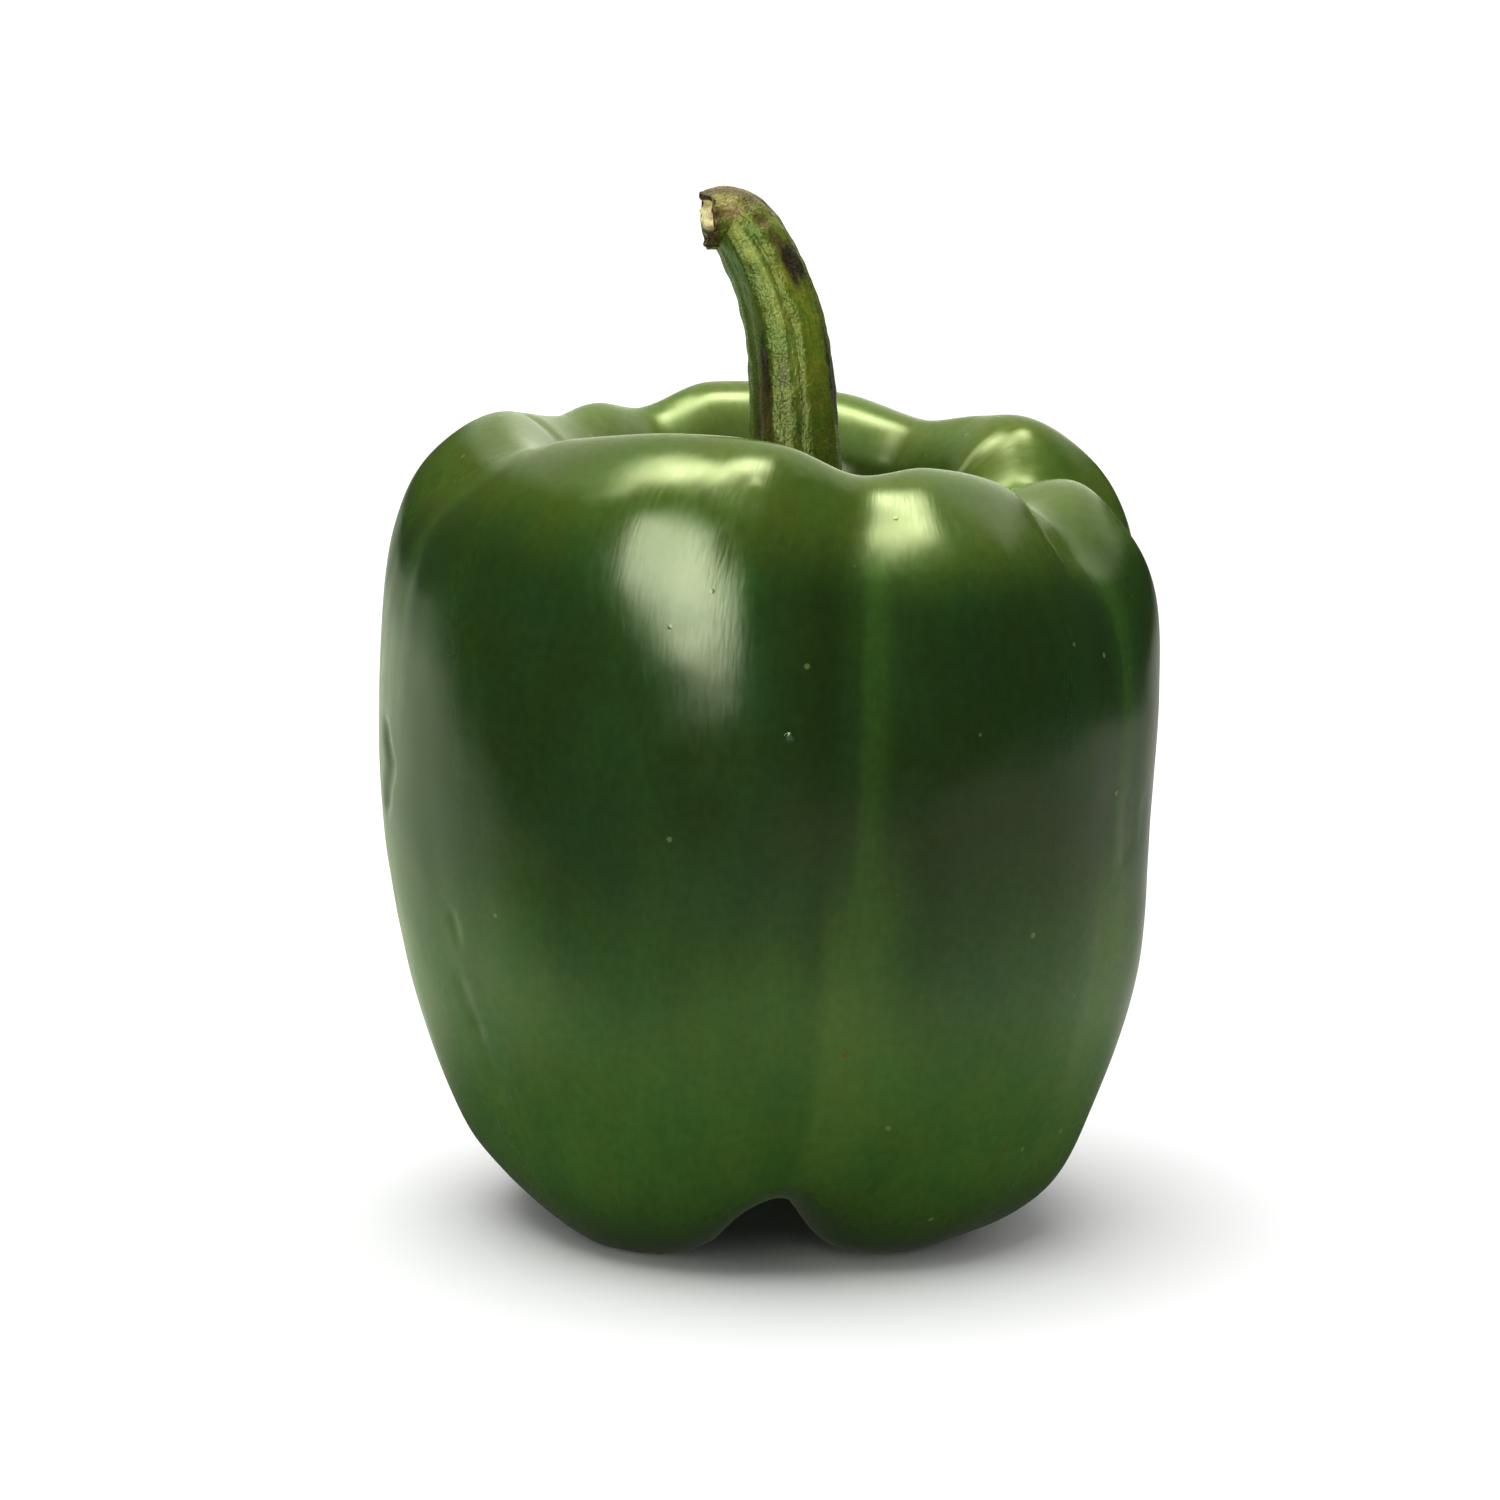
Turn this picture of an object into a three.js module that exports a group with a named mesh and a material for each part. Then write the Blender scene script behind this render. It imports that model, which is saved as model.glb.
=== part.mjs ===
// A green bell pepper of the blocky kind, as picked: one lobed fruit that stands on its base lobes,
// and one stem that rises out of the hollow in its top from a toothed calyx.
// Millimetres, +Z up. The fruit's feet stand on Z = 0, and the whole lies evenly about the Z axis.
import * as THREE from 'three';

// Bearings are degrees round the fruit: 0 faces the front (-Y), 90 faces +X.
// Each form is one groove or lobe. rim is the height of the shoulder's crest and crest its radius.
// shoulder, side, belly and hip are outer radii from just under the rim down to low on the fruit.
// foot is the height of the base, and a foot below 0 is pressed flat where it stands.
const form = (bearing, rim, crest, shoulder, side, belly, hip, foot) => ({
  bearing, rim, crest, shoulder, side, belly, hip, foot,
});
const FORMS = [
  form(2, 91.3, 28.5, 38.6, 42.8, 41.8, 39.6, 1.7), // right flank of the front left lobe
  form(19, 87.7, 28.0, 36.9, 41.7, 40.7, 38.7, 8.1), // front groove
  form(36, 88.0, 28.5, 38.6, 43.3, 42.4, 40.6, 1.6), // front right lobe
  form(53, 86.0, 30.0, 40.3, 43.9, 43.1, 41.8, -0.5), // its outer half
  form(67, 82.3, 30.5, 39.4, 43.5, 42.9, 42.0, -0.6), // shallow groove at the right front
  form(84, 84.3, 33.0, 42.5, 44.2, 43.4, 42.7, 0.3), // right lobe
  form(99, 81.8, 30.0, 38.9, 41.8, 40.8, 39.4, 5.4), // right groove
  form(113, 88.8, 31.5, 42.1, 43.6, 42.2, 40.8, 1.2), // back right lobe
  form(126, 89.0, 30.0, 40.6, 43.4, 42.0, 40.0, -0.4), // its outer half
  form(141, 88.0, 28.0, 37.8, 42.2, 41.1, 39.4, 1.0), // back right groove
  form(163, 90.5, 28.5, 39.6, 43.4, 42.0, 40.0, -0.5), // back lobe
  form(194, 91.7, 28.5, 39.8, 43.4, 42.0, 40.0, 0.5), // its outer half
  form(212, 89.2, 28.0, 37.2, 41.6, 40.2, 38.2, 5.6), // back left groove
  form(224, 90.1, 28.5, 39.4, 43.2, 42.0, 40.2, 1.2), // back left lobe
  form(237, 89.2, 28.5, 38.6, 43.2, 42.4, 40.4, 0.3), // left back crease
  form(263, 90.9, 30.0, 41.6, 44.3, 44.1, 41.8, -0.4), // left lobe
  form(291, 88.5, 28.5, 39.2, 43.5, 43.4, 41.3, 3.6), // left groove
  form(313, 90.8, 28.5, 40.2, 43.6, 42.4, 40.0, -0.5), // outer half of the front left lobe
  form(340, 92.2, 28.5, 40.0, 43.4, 42.0, 40.2, -1.0), // front left lobe
];

const COLUMNS = 72; // faces round the fruit
const ROWS_PER_STATION = 4;
const RIM_MEAN = 89;
const FOOT_RADIUS = 20.5;
const BASE_HOLLOW = 9; // height of the blossom end, inside the feet
const HOLLOW_FLOOR = 73; // height of the top hollow's floor, under the stem
const STEM_OFFSET = 2.9; // the hollow's floor lies this far to +X of the fruit's middle
const CENTRING = new THREE.Vector2(0.5, -0.5); // moves the fruit's middle onto the Z axis

// The stem: the middle line's X, Y and Z, and its radius there. It leans back, and to -X at its broken tip.
const STEM_LINE = [
  [3.1, 0, 80.5, 5.4],
  [2.9, 1.2, 87.9, 4.9],
  [2.5, 2.7, 94.7, 4.7],
  [1.7, 4, 100.6, 4.45],
  [0.1, 5.1, 105.7, 4.15],
  [-1.9, 6, 109.8, 3.95],
  [-4.2, 6.6, 112.4, 3.55],
  [-7.1, 5.9, 112.3, 3.2],
];
const STEM_RIDGES = 5;
const RIDGE_BEARING = -27;
const RIDGE_HEIGHT = 0.06; // as a share of the stem's radius
const STEM_COLUMNS = 30;
const STEM_ROWS = 18;

// The calyx lies on the hollow's floor. Its reach is counted in stations of the fruit's outline.
const CALYX_REACH = 0.84;
const CALYX_TOOTH = 0.16;
const CALYX_TEETH = 6;
const CALYX_THICKNESS = 1.3;
const SEAT_GAP = 0.35; // between the calyx and the fruit

// A periodic cubic through one measure of the forms.
function formValue(bearing, measure) {
  const count = FORMS.length;
  const turn = THREE.MathUtils.euclideanModulo(bearing, 360);
  const after = FORMS.findIndex((form) => form.bearing > turn);
  const right = after < 0 ? count : after;
  const knot = (k) => {
    const lap = Math.floor(k / count);
    const form = FORMS[k - lap * count];
    return [form.bearing + 360 * lap, form[measure]];
  };
  const [b0, v0] = knot(right - 2);
  const [b1, v1] = knot(right - 1);
  const [b2, v2] = knot(right);
  const [b3, v3] = knot(right + 1);
  const span = b2 - b1;
  const u = (turn - b1) / span;
  const slope1 = ((v2 - v0) / (b2 - b0)) * span;
  const slope2 = ((v3 - v1) / (b3 - b1)) * span;
  const rise = u * u * (3 - 2 * u);
  return v1 + (v2 - v1) * rise + slope1 * u * (1 - u) ** 2 - slope2 * u * u * (1 - u);
}

// The fruit's outline at one bearing, from the blossom end out, up and into the top hollow.
// A station is its radius, its height and how far the twisted fruit has turned there.
function stations(bearing) {
  const at = (measure) => formValue(bearing, measure);
  const [rim, crest, shoulder] = [at('rim'), at('crest'), at('shoulder')];
  const [side, belly, hip, foot] = [at('side'), at('belly'), at('hip'), at('foot')];
  const lift = rim - RIM_MEAN;
  return [
    [0, BASE_HOLLOW, -21],
    [9.5, 6 + 0.4 * foot, -21],
    [FOOT_RADIUS, foot, -20],
    [hip - 10.2, 4.8 + 0.5 * foot, -16],
    [hip - 5, 14.5, -11],
    [hip - 0.3, 30, -9],
    [belly, 47, -8.2],
    [side, 63 + 0.2 * lift, -7.5],
    [0.6 * side + 0.4 * shoulder - 0.1, 76 + 0.7 * lift, -6.5],
    [shoulder - 2.8, rim - 4.8, -4],
    [crest, rim, 0],
    [22, HOLLOW_FLOOR + 10.8 + 0.6 * lift, 0],
    [16.5, HOLLOW_FLOOR + 2.6 + 0.1 * lift, 0],
    [0, HOLLOW_FLOOR, 0],
  ];
}
const LAST_STATION = stations(0).length - 1;

function outlineAt(bearing) {
  const list = stations(bearing).map(([radius, height, turn]) => new THREE.Vector3(radius, height, turn));
  const mirrored = (p) => new THREE.Vector3(-p.x, p.y, p.z);
  const points = [mirrored(list[1]), ...list, mirrored(list[LAST_STATION - 1])];
  const curve = new THREE.CatmullRomCurve3(points, false, 'catmullrom', 0.5);
  return (station) => curve.getPoint((station + 1) / (points.length - 1));
}

function fruitPoint(bearing, station, outline = outlineAt(bearing)) {
  const { x: radius, y: height, z: turn } = outline(station);
  const angle = THREE.MathUtils.degToRad(bearing + turn);
  const inward = station > 10 ? THREE.MathUtils.smoothstep(28 - radius, 0, 28) : 0;
  return new THREE.Vector3(
    radius * Math.sin(angle) + STEM_OFFSET * inward + CENTRING.x,
    -radius * Math.cos(angle) + CENTRING.y,
    Math.max(height, 0),
  );
}

// A sphere's grid of faces, each vertex moved to place(bearing, share), with share 0 at the lower pole.
function closedGrid(columns, rows, place) {
  const geometry = new THREE.SphereGeometry(1, columns, rows);
  const { position, uv } = geometry.attributes;
  for (let i = 0; i < position.count; i++) {
    const row = Math.round(uv.getY(i) * rows);
    const column = Math.round(uv.getX(i) * columns) % columns;
    const atPole = row === 0 || row === rows;
    const point = place(atPole ? 0 : (column / columns) * 360, row / rows);
    position.setXYZ(i, point.x, point.y, point.z);
  }
  geometry.computeVertexNormals();
  return geometry;
}

function fruitGeometry() {
  const rows = LAST_STATION * ROWS_PER_STATION;
  const outlines = new Map();
  return closedGrid(COLUMNS, rows, (bearing, share) => {
    if (!outlines.has(bearing)) outlines.set(bearing, outlineAt(bearing));
    return fruitPoint(bearing, share * LAST_STATION, outlines.get(bearing));
  });
}

// Sepals end in short blunt teeth that lie on the fruit.
function calyxReach(bearing) {
  const wave = Math.cos(THREE.MathUtils.degToRad(CALYX_TEETH * (bearing - RIDGE_BEARING)));
  return CALYX_REACH + CALYX_TOOTH * (wave > 0 ? wave ** 2 : 0);
}

function calyxPoint(bearing, share, lift) {
  const point = fruitPoint(bearing, LAST_STATION - share * calyxReach(bearing));
  point.z += lift;
  return point;
}

function stemRadius(bearing, radius) {
  const wave = Math.cos(THREE.MathUtils.degToRad(STEM_RIDGES * (bearing - RIDGE_BEARING)));
  return radius * (1 + RIDGE_HEIGHT * wave);
}

// Stem: share 0 is where it leaves the calyx, 1 is the broken tip.
const stemLine = new THREE.CatmullRomCurve3(
  STEM_LINE.map(([x, y, z]) => new THREE.Vector3(x, y, z)),
  false,
  'catmullrom',
  0.5,
);
function stemPoint(bearing, share, scale = 1, along = 0) {
  const centre = stemLine.getPoint(share);
  const tangent = stemLine.getTangent(share);
  const across = new THREE.Vector3(tangent.z, 0, -tangent.x).normalize();
  const forward = new THREE.Vector3().crossVectors(across, tangent);
  const place = share * (STEM_LINE.length - 1);
  const knot = Math.min(Math.floor(place), STEM_LINE.length - 2);
  const thickness = THREE.MathUtils.lerp(STEM_LINE[knot][3], STEM_LINE[knot + 1][3], place - knot);
  const radius = stemRadius(bearing, thickness) * scale;
  const angle = THREE.MathUtils.degToRad(bearing);
  return centre
    .clone()
    .addScaledVector(across, radius * Math.sin(angle))
    .addScaledVector(forward, radius * Math.cos(angle))
    .addScaledVector(tangent, along)
    .add(new THREE.Vector3(CENTRING.x, CENTRING.y, 0));
}

// From the middle of the calyx's underside, out round its edge, in over its top, up the stem,
// and over the broken end's bark edge onto the pith, which stands a little proud in its middle.
function stemGeometry() {
  const rings = [
    (b) => calyxPoint(b, 0, SEAT_GAP),
    (b) => calyxPoint(b, 0.5, SEAT_GAP),
    (b) => calyxPoint(b, 0.97, SEAT_GAP),
    (b) => calyxPoint(b, 1, SEAT_GAP + 0.5 * CALYX_THICKNESS),
    (b) => calyxPoint(b, 0.95, SEAT_GAP + CALYX_THICKNESS),
    (b) => calyxPoint(b, 0.78, SEAT_GAP + 1.5 * CALYX_THICKNESS),
    (b) => calyxPoint(b, 0.6, SEAT_GAP + 2.4 * CALYX_THICKNESS),
  ];
  for (let row = 0; row <= STEM_ROWS; row++) {
    rings.push((b) => stemPoint(b, row / STEM_ROWS));
  }
  rings.push((b) => stemPoint(b, 1, 0.8, 0.2));
  rings.push((b) => stemPoint(b, 1, 0.6, -0.4));
  rings.push((b) => stemPoint(b, 1, 0.35, 0.3));
  rings.push((b) => stemPoint(b, 1, 0, 0.4));
  return closedGrid(STEM_COLUMNS, rings.length - 1, (bearing, share) =>
    rings[Math.round(share * (rings.length - 1))](bearing),
  );
}

const skin = new THREE.MeshStandardMaterial({ color: 0x2f5a1c, roughness: 0.32, metalness: 0 });
const stalk = new THREE.MeshStandardMaterial({ color: 0x6f8038, roughness: 0.6, metalness: 0 });

const fruit = new THREE.Mesh(fruitGeometry(), skin);
fruit.name = 'fruit';
const stem = new THREE.Mesh(stemGeometry(), stalk);
stem.name = 'stem';

const pepper = new THREE.Group();
pepper.name = 'bell_pepper';
pepper.add(fruit, stem);

export default pepper;
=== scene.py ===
import bpy
import numpy as np
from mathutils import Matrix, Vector, noise


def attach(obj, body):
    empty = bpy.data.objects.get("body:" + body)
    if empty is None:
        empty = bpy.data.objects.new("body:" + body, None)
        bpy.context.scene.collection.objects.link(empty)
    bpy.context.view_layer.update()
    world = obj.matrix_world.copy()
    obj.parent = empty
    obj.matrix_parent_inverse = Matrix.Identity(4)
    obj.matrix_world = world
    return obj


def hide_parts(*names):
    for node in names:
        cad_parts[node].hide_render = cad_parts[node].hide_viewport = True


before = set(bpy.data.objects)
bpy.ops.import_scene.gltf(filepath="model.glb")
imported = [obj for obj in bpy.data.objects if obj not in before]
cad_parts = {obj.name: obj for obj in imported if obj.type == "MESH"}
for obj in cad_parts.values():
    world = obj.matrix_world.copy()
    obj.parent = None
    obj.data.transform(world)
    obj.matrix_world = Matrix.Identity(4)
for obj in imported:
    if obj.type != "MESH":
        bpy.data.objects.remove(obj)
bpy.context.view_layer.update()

# The fruit is one hollow-walled berry that grew in one piece, so it is one closed mesh. Lobes and grooves
# run from the blossom end up over the shoulders and down into the hollow under the stem, a little twisted.
# Bearings are degrees round it: 0 faces the front, 90 faces +X. Each form is one groove or lobe.
FORMS = [  # bearing, rim height, radii at crest, shoulder, side, belly and hip, and the foot's height
    (2, 0.0913, 0.0285, 0.0386, 0.0428, 0.0418, 0.0396, 0.0017),  # right flank of the front left lobe
    (19, 0.0877, 0.0280, 0.0369, 0.0417, 0.0407, 0.0387, 0.0081),  # front groove
    (36, 0.0880, 0.0285, 0.0386, 0.0433, 0.0424, 0.0406, 0.0016),  # front right lobe
    (53, 0.0860, 0.0300, 0.0403, 0.0439, 0.0431, 0.0418, -0.0005),  # its outer half
    (67, 0.0823, 0.0305, 0.0394, 0.0435, 0.0429, 0.0420, -0.0006),  # shallow groove at the right front
    (84, 0.0843, 0.0330, 0.0425, 0.0442, 0.0434, 0.0427, 0.0003),  # right lobe
    (99, 0.0818, 0.0300, 0.0389, 0.0418, 0.0408, 0.0394, 0.0054),  # right groove
    (113, 0.0888, 0.0315, 0.0421, 0.0436, 0.0422, 0.0408, 0.0012),  # back right lobe
    (126, 0.0890, 0.0300, 0.0406, 0.0434, 0.0420, 0.0400, -0.0004),  # its outer half
    (141, 0.0880, 0.0280, 0.0378, 0.0422, 0.0411, 0.0394, 0.0010),  # back right groove
    (163, 0.0905, 0.0285, 0.0396, 0.0434, 0.0420, 0.0400, -0.0005),  # back lobe
    (194, 0.0917, 0.0285, 0.0398, 0.0434, 0.0420, 0.0400, 0.0005),  # its outer half
    (212, 0.0892, 0.0280, 0.0372, 0.0416, 0.0402, 0.0382, 0.0056),  # back left groove
    (224, 0.0901, 0.0285, 0.0394, 0.0432, 0.0420, 0.0402, 0.0012),  # back left lobe
    (237, 0.0892, 0.0285, 0.0386, 0.0432, 0.0424, 0.0404, 0.0003),  # left back crease
    (263, 0.0909, 0.0300, 0.0416, 0.0443, 0.0441, 0.0418, -0.0004),  # left lobe
    (291, 0.0885, 0.0285, 0.0392, 0.0435, 0.0434, 0.0413, 0.0036),  # left groove
    (313, 0.0908, 0.0285, 0.0402, 0.0436, 0.0424, 0.0400, -0.0005),  # outer half of the front left lobe
    (340, 0.0922, 0.0285, 0.0400, 0.0434, 0.0420, 0.0402, -0.0010),  # front left lobe
]
RIM_MEAN = 0.089
FOOT_RADIUS = 0.0205
BASE_HOLLOW = 0.009
HOLLOW_FLOOR = 0.073
INNER_RIM = 0.028  # inside this radius the hollow shifts towards its floor's own middle
STEM_OFFSET = 0.0029
CENTRING = (0.0005, -0.0005)
LAST_STATION = 13
CREST_STATION = 10
FRUIT_COLUMNS = 400


def form_value(bearing, measure):
    """A periodic cubic through one measure of the forms."""
    forms = np.array(FORMS)
    at = np.concatenate([forms[:, 0] - 360, forms[:, 0], forms[:, 0] + 360])
    value = np.tile(forms[:, measure], 3)
    slope = np.zeros_like(value)
    slope[1:-1] = (value[2:] - value[:-2]) / (at[2:] - at[:-2])
    turn = np.mod(bearing, 360)
    left = np.searchsorted(at, turn, side="right") - 1
    span = at[left + 1] - at[left]
    u = (turn - at[left]) / span
    rise = u * u * (3 - 2 * u)
    level = value[left] + (value[left + 1] - value[left]) * rise
    return level + slope[left] * span * u * (1 - u) ** 2 - slope[left + 1] * span * u * u * (1 - u)


def stations(bearing):
    """Radius, height and turn down each outline: blossom end, foot, hip, side, shoulder, crest, hollow."""
    rim, crest, shoulder, side, belly, hip, foot = (form_value(bearing, k) for k in range(1, 8))
    lift = rim - RIM_MEAN
    level = np.ones_like(rim)
    return np.array([
        (0 * level, BASE_HOLLOW * level, -21 * level),
        (0.0095 * level, 0.006 + 0.4 * foot, -21 * level),
        (FOOT_RADIUS * level, foot, -20 * level),
        (hip - 0.0102, 0.0048 + 0.5 * foot, -16 * level),
        (hip - 0.005, 0.0145 * level, -11 * level),
        (hip - 0.0003, 0.030 * level, -9 * level),
        (belly, 0.047 * level, -8.2 * level),
        (side, 0.063 + 0.2 * lift, -7.5 * level),
        (0.6 * side + 0.4 * shoulder - 0.0001, 0.076 + 0.7 * lift, -6.5 * level),
        (shoulder - 0.0028, rim - 0.0048, -4 * level),
        (crest, rim, 0 * level),
        (0.022 * level, HOLLOW_FLOOR + 0.0108 + 0.6 * lift, 0 * level),
        (0.0165 * level, HOLLOW_FLOOR + 0.0026 + 0.1 * lift, 0 * level),
        (0 * level, HOLLOW_FLOOR * level, 0 * level),
    ])


def smooth_through(knots, place):
    """A Catmull-Rom curve through the knots, at each place counted in knots."""
    padded = np.concatenate([2 * knots[:1] - knots[1:2], knots, 2 * knots[-1:] - knots[-2:-1]])
    k = np.clip(np.floor(place).astype(int), 0, len(knots) - 2)
    u = (place - k).reshape((-1,) + (1,) * (knots.ndim - 1))
    p0, p1, p2, p3 = (padded[k + n] for n in range(4))
    bend = (2 * p0 - 5 * p1 + 4 * p2 - p3) * u ** 2 + (3 * p1 - p0 - 3 * p2 + p3) * u ** 3
    return p1 + 0.5 * ((p2 - p0) * u + bend)


def soft_step(value, start, end):
    """0 before start, 1 past end, smooth between them. start may be the larger one."""
    share = np.clip((value - start) / (end - start), 0, 1)
    return share * share * (3 - 2 * share)


def skin_points(bearing, station):
    """The skin's points, one row for each station and one column for each bearing."""
    knots = stations(bearing)
    over_axis = np.array([-1, 1, 1])[:, None]
    mirrored = np.concatenate([knots[1:2] * over_axis, knots, knots[-2:-1] * over_axis])
    radius, height, turn = smooth_through(mirrored, station + 1).transpose(1, 0, 2)
    angle = np.radians(bearing + turn)
    inward = np.where(station[:, None] > CREST_STATION, soft_step(radius, INNER_RIM, 0), 0)
    x = radius * np.sin(angle) + STEM_OFFSET * inward + CENTRING[0]
    y = -radius * np.cos(angle) + CENTRING[1]
    return np.stack([x, y, np.maximum(height, 0)], axis=-1)


def skin_place(bearing, station):
    """One point of the skin."""
    return skin_points(np.array([float(bearing)]), np.array([float(station)]))[0, 0]


def facing_out(points):
    """The outward direction at each point of a grid that closes round its columns."""
    along = np.gradient(points, axis=0)
    around = np.roll(points, -1, axis=1) - np.roll(points, 1, axis=1)
    out = np.cross(around, along)
    return out / np.maximum(np.linalg.norm(out, axis=-1, keepdims=True), 1e-12)


def lumps(points, size, seed):
    """Smooth random relief, about -1 to 1, with lumps of the given size. size may differ along each axis."""
    flat = points.reshape(-1, 3) / np.array(size) + seed
    return np.array([noise.noise(p) for p in flat]).reshape(points.shape[:-1])


def distance_to_path(points, path):
    """How far each point is from the line through the places on path."""
    nearest = np.full(points.shape[:-1], np.inf)
    for start, end in zip(path[:-1], path[1:]):
        run = end - start
        share = np.clip(((points - start) @ run) / (run @ run), 0, 1)
        gap = np.linalg.norm(points - (start + share[..., None] * run), axis=-1)
        nearest = np.minimum(nearest, gap)
    return nearest


def closed_mesh(name, points, tint, grain):
    """A closed mesh from a grid whose first and last rows are single points.
    tint is each vertex's colour, and grain its place on the straightened, unrolled skin."""
    rows, columns = points.shape[:2]

    def each_once(grid):
        return np.concatenate([grid[:1, 0], grid[1:-1].reshape(-1, grid.shape[-1]), grid[-1:, 0]])

    first = np.arange(columns)
    second = np.roll(first, -1)
    pairs = list(zip(first.tolist(), second.tolist()))
    last = (rows - 2) * columns + 1
    faces = [(0, 1 + b, 1 + a) for a, b in pairs]
    for row in range(rows - 3):
        low = 1 + row * columns
        high = low + columns
        faces += [(low + a, low + b, high + b, high + a) for a, b in pairs]
    faces += [(last - columns + a, last - columns + b, last) for a, b in pairs]
    mesh = bpy.data.meshes.new(name)
    mesh.from_pydata(each_once(points).tolist(), [], faces)
    colours = np.ones((last + 1, 4), np.float32)
    colours[:, :3] = np.clip(each_once(tint), 0, 1)
    mesh.color_attributes.new("tint", "FLOAT_COLOR", "POINT").data.foreach_set("color", colours.ravel())
    places = each_once(grain).astype(np.float32)
    mesh.attributes.new("grain", "FLOAT_VECTOR", "POINT").data.foreach_set("vector", places.ravel())
    mesh.polygons.foreach_set("use_smooth", np.ones(len(mesh.polygons), bool))
    mesh.update()
    piece = bpy.data.objects.new(name, mesh)
    bpy.context.scene.collection.objects.link(piece)
    return piece


class Nodes:
    """A node tree, with short ways to add a node and to join two."""

    def __init__(self, tree):
        self.tree = tree

    def fill(self, socket, value):
        if isinstance(value, bpy.types.NodeSocket):
            self.tree.links.new(value, socket)
        else:
            socket.default_value = value

    def add(self, kind, settings=None, **sockets):
        node = self.tree.nodes.new("ShaderNode" + kind)
        for key, value in (settings or {}).items():
            setattr(node, key, value)
        for key, value in sockets.items():
            self.fill(node.inputs[key.replace("_", " ")], value)
        return node

    def sum(self, operation, *values):
        node = self.add("Math", {"operation": operation})
        for socket, value in zip(node.inputs, values):
            self.fill(socket, value)
        return node.outputs[0]

    def from_to(self, value, start, end, low=0.0, high=1.0):
        """low where value is start, high where it is end, smooth between and flat outside."""
        node = self.add("MapRange", {"interpolation_type": "SMOOTHSTEP"}, Value=value)
        for name, level in zip(("From Min", "From Max", "To Min", "To Max"), (start, end, low, high)):
            node.inputs[name].default_value = level
        return node.outputs[0]

    def attribute(self, name, outlet="Vector"):
        return self.add("Attribute", {"attribute_name": name}).outputs[outlet]

    def noise(self, place, across, along, detail=2.0):
        """Random tone between about 0.2 and 0.8, in spots across wide and along long."""
        spread = self.add("VectorMath", {"operation": "MULTIPLY"})
        self.fill(spread.inputs[0], place)
        spread.inputs[1].default_value = (1 / across, 1 / across, 1 / along)
        return self.add("TexNoise", Vector=spread.outputs[0], Scale=1.0, Detail=detail).outputs["Fac"]

    def over(self, base, layer, share):
        """Paints layer over base by share."""
        node = self.add("Mix", {"data_type": "RGBA"})
        for socket, value in zip((node.inputs[0], node.inputs[6], node.inputs[7]), (share, base, layer)):
            self.fill(socket, value)
        return node.outputs[2]

    def near(self, place, point, inner, outer):
        """1 within inner of a point, 0 past outer."""
        gap = self.add("VectorMath", {"operation": "DISTANCE"})
        self.fill(gap.inputs[0], place)
        gap.inputs[1].default_value = tuple(point)
        return self.from_to(gap.outputs["Value"], outer, inner)


class Look(Nodes):
    """A material with one shader."""

    def __init__(self, name, roughness):
        self.material = bpy.data.materials.new(name)
        self.material.use_nodes = True
        super().__init__(self.material.node_tree)
        self.tree.nodes.clear()
        self.shader = self.add("BsdfPrincipled", Roughness=roughness)
        self.output = self.add("OutputMaterial", Surface=self.shader.outputs[0])

    def bumps(self, *layers):
        """Lays height maps on each other. Each layer is a height from 0 to 1 and its full depth."""
        normal = None
        for height, depth in layers:
            node = self.add("Bump", Height=height, Distance=depth)
            if normal is not None:
                self.fill(node.inputs["Normal"], normal)
            normal = node.outputs[0]
        self.fill(self.shader.inputs["Normal"], normal)


def arc_lengths(points):
    """How far along each column each point is."""
    steps = np.linalg.norm(np.diff(points, axis=0), axis=-1)
    return np.concatenate([np.zeros((1, points.shape[1])), np.cumsum(steps, axis=0)])


def unrolled(bearing, radius, length):
    """Places on the straightened skin: round a cylinder by bearing, and length along it."""
    turn = np.radians(bearing) + 0 * length
    return np.stack([radius * np.sin(turn), -radius * np.cos(turn), length], axis=-1)


ROW_COUNTS = (8, 10, 13, 17, 25, 26, 25, 22, 19, 18, 16, 10, 8)  # rows between stations
SPARE_TURN = 0.35  # how much closer the columns are at the front, where the creases are
steps = np.arange(FRUIT_COLUMNS) * 360 / FRUIT_COLUMNS
bearing = steps - np.degrees(SPARE_TURN) * np.sin(np.radians(steps))
rows_between = [k + np.arange(count) / count for k, count in enumerate(ROW_COUNTS)]
station = np.concatenate(rows_between + [[LAST_STATION]])
smooth_skin = skin_points(bearing, station)
skin_out = facing_out(smooth_skin)
SKIN_GRAIN_RADIUS = 0.040
skin_grain = unrolled(bearing[None, :], SKIN_GRAIN_RADIUS, arc_lengths(smooth_skin))
around = bearing[None, :] + 0 * station[:, None]
along = station[:, None] + 0 * bearing[None, :]

# Soft unevenness of the wall, then the marks that growing and handling left in it.
WALL_WAVES = 0.00012
WALL_RIPPLES = 0.00005
WALL_FLUTES = 0.00006
relief = WALL_WAVES * lumps(smooth_skin, 0.014, 3.1)
relief += WALL_RIPPLES * lumps(smooth_skin, 0.0055, 8.7)
relief += WALL_FLUTES * lumps(skin_grain, (0.004, 0.004, 0.03), 5.3) * soft_step(along, 9.5, 8.0)


def hollowed(relief, path, width, depth, lip):
    """Presses a groove of this width and depth into the skin along a path, with a raised lip beside it."""
    gap = distance_to_path(smooth_skin, np.array([skin_place(b, s) for b, s in path]))
    return relief - depth * np.exp(-(gap / width) ** 2) + lip * np.exp(-((gap - 2 * width) / width) ** 2)


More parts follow.
